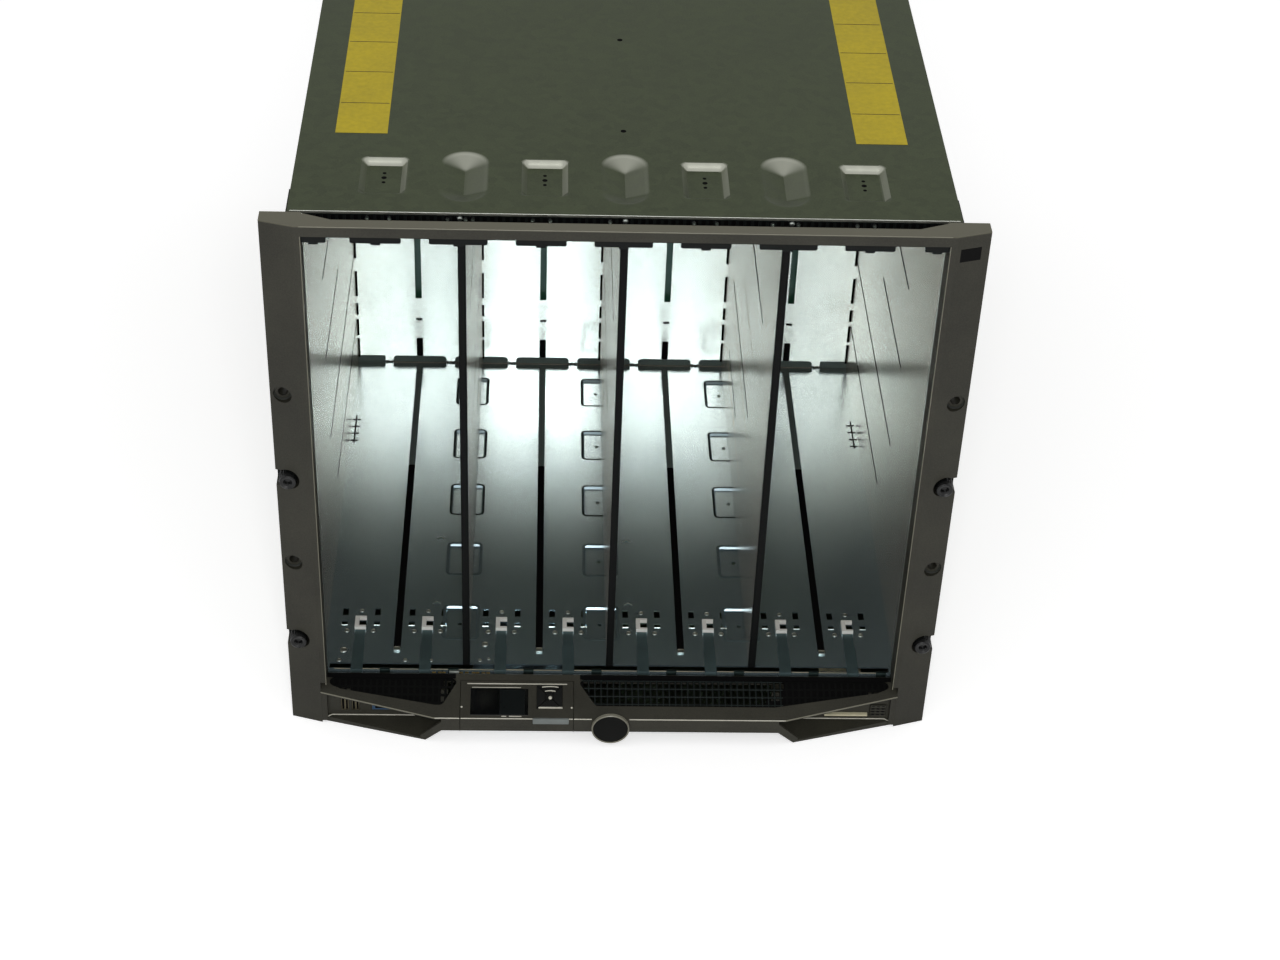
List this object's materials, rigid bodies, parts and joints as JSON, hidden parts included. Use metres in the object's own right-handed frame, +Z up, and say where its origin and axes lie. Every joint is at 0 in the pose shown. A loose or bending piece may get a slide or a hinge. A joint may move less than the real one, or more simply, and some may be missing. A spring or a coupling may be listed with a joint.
{
  "type": "blade server chassis",
  "caption": "Rack enclosure for blade servers: divided sheet-metal blade bays behind a bezel with a slide-out display, and hot-swap power supplies and fans at the rear.",
  "frame": {"origin": "on the bottom face, on the middle line of the enclosure, in the plane where the rack rails touch the ears", "axes": "+X to the right seen from the front, +Y from the front to the rear, +Z up"},
  "size_m": [0.4826, 0.819, 0.441],
  "materials": {
    "galvanised": "galvanised sheet, satin",
    "cover": "galvanised sheet, dull",
    "floor": "galvanised sheet, satin",
    "liner": "galvanised sheet, satin",
    "spring": "spring steel, satin",
    "clip": "white moulded plastic",
    "board": "solder mask",
    "ear": "black coat, satin",
    "bezel": "fine textured grey-brown plastic",
    "strip": "black coat, matt",
    "grille": "black plastic, matt",
    "badge": "dark disc with light rim, blank",
    "port": "plated socket shells",
    "tray": "satin",
    "window": "black clear screen",
    "key": "dark key, satin",
    "select": "pale key",
    "power": "dark ribbed button",
    "tag": "white blank tag",
    "knob": "black knurled knob",
    "rear": "galvanised sheet, satin",
    "blank": "plain cover plates",
    "psu": "plated steel",
    "fan": "black glass-filled plastic",
    "rotor": "black glass-filled plastic"
  },
  "bodies": {
    "root": {"bottom_pan": "galvanised", "left_side_panel": "galvanised", "right_side_panel": "galvanised", "top_cover": "cover", "bay_side_liners": "liner", "bay_floor": "floor", "bay_back_panel": "liner", "divider_left": "liner", "divider_centre": "liner", "divider_right": "liner", "midplane_board": "board", "spring_fingers": "spring", "keying_clips": "clip", "rack_ears": "ear", "front_bezel": "bezel", "top_intake_strip": "strip", "lower_bezel": "bezel", "air_grilles": "grille", "bezel_badge": "badge", "front_ports": "port", "rear_frame": "rear", "rear_blanks": "blank"},
    "lcd_tray": {"lcd_tray": "tray"},
    "lcd_housing": {"lcd_housing": "bezel", "lcd_window": "window"},
    "key_up": {"key_up": "key"},
    "key_down": {"key_down": "key"},
    "key_left": {"key_left": "key"},
    "key_right": {"key_right": "key"},
    "key_select": {"key_select": "select"},
    "power_button": {"power_button": "power"},
    "info_tag": {"info_tag": "tag"},
    "thumbscrew_1": {"thumbscrew_1": "knob"},
    "thumbscrew_2": {"thumbscrew_2": "knob"},
    "thumbscrew_3": {"thumbscrew_3": "knob"},
    "thumbscrew_4": {"thumbscrew_4": "knob"},
    "psu_1": {"psu_1": "psu"},
    "psu_2": {"psu_2": "psu"},
    "psu_3": {"psu_3": "psu"},
    "psu_4": {"psu_4": "psu"},
    "psu_5": {"psu_5": "psu"},
    "psu_6": {"psu_6": "psu"},
    "fan_module_1": {"fan_module_1": "fan"},
    "fan_rotor_1": {"fan_rotor_1": "rotor"},
    "fan_module_2": {"fan_module_2": "fan"},
    "fan_rotor_2": {"fan_rotor_2": "rotor"},
    "fan_module_3": {"fan_module_3": "fan"},
    "fan_rotor_3": {"fan_rotor_3": "rotor"},
    "fan_module_4": {"fan_module_4": "fan"},
    "fan_rotor_4": {"fan_rotor_4": "rotor"},
    "fan_module_5": {"fan_module_5": "fan"},
    "fan_rotor_5": {"fan_rotor_5": "rotor"},
    "fan_module_6": {"fan_module_6": "fan"},
    "fan_rotor_6": {"fan_rotor_6": "rotor"},
    "fan_module_7": {"fan_module_7": "fan"},
    "fan_rotor_7": {"fan_rotor_7": "rotor"},
    "fan_module_8": {"fan_module_8": "fan"},
    "fan_rotor_8": {"fan_rotor_8": "rotor"},
    "fan_module_9": {"fan_module_9": "fan"},
    "fan_rotor_9": {"fan_rotor_9": "rotor"}
  },
  "joints": [
    {"name": "lcd_slide", "type": "slide", "parent": "root", "child": "lcd_tray", "axis": [0, -1, 0], "range_m": [0, 0.085]},
    {"name": "lcd_tilt", "type": "hinge", "parent": "lcd_tray", "child": "lcd_housing", "pos_m": [0, -0.036, 0.0165], "axis": [1, 0, 0], "range_deg": [0, 60]},
    {"name": "key_up_press", "type": "slide", "parent": "lcd_housing", "child": "key_up", "axis": [0, 0.3451, -0.9386], "range_m": [0, 0.0006], "stiffness_N_per_m": 400},
    {"name": "key_down_press", "type": "slide", "parent": "lcd_housing", "child": "key_down", "axis": [0, 0.3451, -0.9386], "range_m": [0, 0.0006], "stiffness_N_per_m": 400},
    {"name": "key_left_press", "type": "slide", "parent": "lcd_housing", "child": "key_left", "axis": [0, 0.3451, -0.9386], "range_m": [0, 0.0006], "stiffness_N_per_m": 400},
    {"name": "key_right_press", "type": "slide", "parent": "lcd_housing", "child": "key_right", "axis": [0, 0.3451, -0.9386], "range_m": [0, 0.0006], "stiffness_N_per_m": 400},
    {"name": "key_select_press", "type": "slide", "parent": "lcd_housing", "child": "key_select", "axis": [0, 0.3451, -0.9386], "range_m": [0, 0.0006], "stiffness_N_per_m": 400},
    {"name": "power_button_press", "type": "slide", "parent": "root", "child": "power_button", "axis": [0, 1, 0], "range_m": [0, 0.001], "stiffness_N_per_m": 600},
    {"name": "info_tag_slide", "type": "slide", "parent": "root", "child": "info_tag", "axis": [0, -1, 0], "range_m": [0, 0.04]},
    {"name": "thumbscrew_1_turn", "type": "hinge", "parent": "root", "child": "thumbscrew_1", "pos_m": [-0.23255, 0, 0.0805], "axis": [0, 1, 0], "continuous": true},
    {"name": "thumbscrew_2_turn", "type": "hinge", "parent": "root", "child": "thumbscrew_2", "pos_m": [0.23255, 0, 0.0805], "axis": [0, 1, 0], "continuous": true},
    {"name": "thumbscrew_3_turn", "type": "hinge", "parent": "root", "child": "thumbscrew_3", "pos_m": [-0.23255, 0, 0.2297], "axis": [0, 1, 0], "continuous": true},
    {"name": "thumbscrew_4_turn", "type": "hinge", "parent": "root", "child": "thumbscrew_4", "pos_m": [0.23255, 0, 0.2297], "axis": [0, 1, 0], "continuous": true},
    {"name": "psu_1_slide", "type": "slide", "parent": "root", "child": "psu_1", "axis": [0, 1, 0], "range_m": [0, 0.3]},
    {"name": "psu_2_slide", "type": "slide", "parent": "root", "child": "psu_2", "axis": [0, 1, 0], "range_m": [0, 0.3]},
    {"name": "psu_3_slide", "type": "slide", "parent": "root", "child": "psu_3", "axis": [0, 1, 0], "range_m": [0, 0.3]},
    {"name": "psu_4_slide", "type": "slide", "parent": "root", "child": "psu_4", "axis": [0, 1, 0], "range_m": [0, 0.3]},
    {"name": "psu_5_slide", "type": "slide", "parent": "root", "child": "psu_5", "axis": [0, 1, 0], "range_m": [0, 0.3]},
    {"name": "psu_6_slide", "type": "slide", "parent": "root", "child": "psu_6", "axis": [0, 1, 0], "range_m": [0, 0.3]},
    {"name": "fan_module_1_slide", "type": "slide", "parent": "root", "child": "fan_module_1", "axis": [0, 1, 0], "range_m": [0, 0.12]},
    {"name": "fan_rotor_1_spin", "type": "hinge", "parent": "fan_module_1", "child": "fan_rotor_1", "pos_m": [-0.17827, 0.73, 0.18003], "axis": [0, 1, 0], "continuous": true},
    {"name": "fan_module_2_slide", "type": "slide", "parent": "root", "child": "fan_module_2", "axis": [0, 1, 0], "range_m": [0, 0.12]},
    {"name": "fan_rotor_2_spin", "type": "hinge", "parent": "fan_module_2", "child": "fan_rotor_2", "pos_m": [-0.17827, 0.73, 0.2835], "axis": [0, 1, 0], "continuous": true},
    {"name": "fan_module_3_slide", "type": "slide", "parent": "root", "child": "fan_module_3", "axis": [0, 1, 0], "range_m": [0, 0.12]},
    {"name": "fan_rotor_3_spin", "type": "hinge", "parent": "fan_module_3", "child": "fan_rotor_3", "pos_m": [-0.17827, 0.73, 0.38697], "axis": [0, 1, 0], "continuous": true},
    {"name": "fan_module_4_slide", "type": "slide", "parent": "root", "child": "fan_module_4", "axis": [0, 1, 0], "range_m": [0, 0.12]},
    {"name": "fan_rotor_4_spin", "type": "hinge", "parent": "fan_module_4", "child": "fan_rotor_4", "pos_m": [0, 0.73, 0.18003], "axis": [0, 1, 0], "continuous": true},
    {"name": "fan_module_5_slide", "type": "slide", "parent": "root", "child": "fan_module_5", "axis": [0, 1, 0], "range_m": [0, 0.12]},
    {"name": "fan_rotor_5_spin", "type": "hinge", "parent": "fan_module_5", "child": "fan_rotor_5", "pos_m": [0, 0.73, 0.2835], "axis": [0, 1, 0], "continuous": true},
    {"name": "fan_module_6_slide", "type": "slide", "parent": "root", "child": "fan_module_6", "axis": [0, 1, 0], "range_m": [0, 0.12]},
    {"name": "fan_rotor_6_spin", "type": "hinge", "parent": "fan_module_6", "child": "fan_rotor_6", "pos_m": [0, 0.73, 0.38697], "axis": [0, 1, 0], "continuous": true},
    {"name": "fan_module_7_slide", "type": "slide", "parent": "root", "child": "fan_module_7", "axis": [0, 1, 0], "range_m": [0, 0.12]},
    {"name": "fan_rotor_7_spin", "type": "hinge", "parent": "fan_module_7", "child": "fan_rotor_7", "pos_m": [0.17827, 0.73, 0.18003], "axis": [0, 1, 0], "continuous": true},
    {"name": "fan_module_8_slide", "type": "slide", "parent": "root", "child": "fan_module_8", "axis": [0, 1, 0], "range_m": [0, 0.12]},
    {"name": "fan_rotor_8_spin", "type": "hinge", "parent": "fan_module_8", "child": "fan_rotor_8", "pos_m": [0.17827, 0.73, 0.2835], "axis": [0, 1, 0], "continuous": true},
    {"name": "fan_module_9_slide", "type": "slide", "parent": "root", "child": "fan_module_9", "axis": [0, 1, 0], "range_m": [0, 0.12]},
    {"name": "fan_rotor_9_spin", "type": "hinge", "parent": "fan_module_9", "child": "fan_rotor_9", "pos_m": [0.17827, 0.73, 0.38697], "axis": [0, 1, 0], "continuous": true}
  ]
}
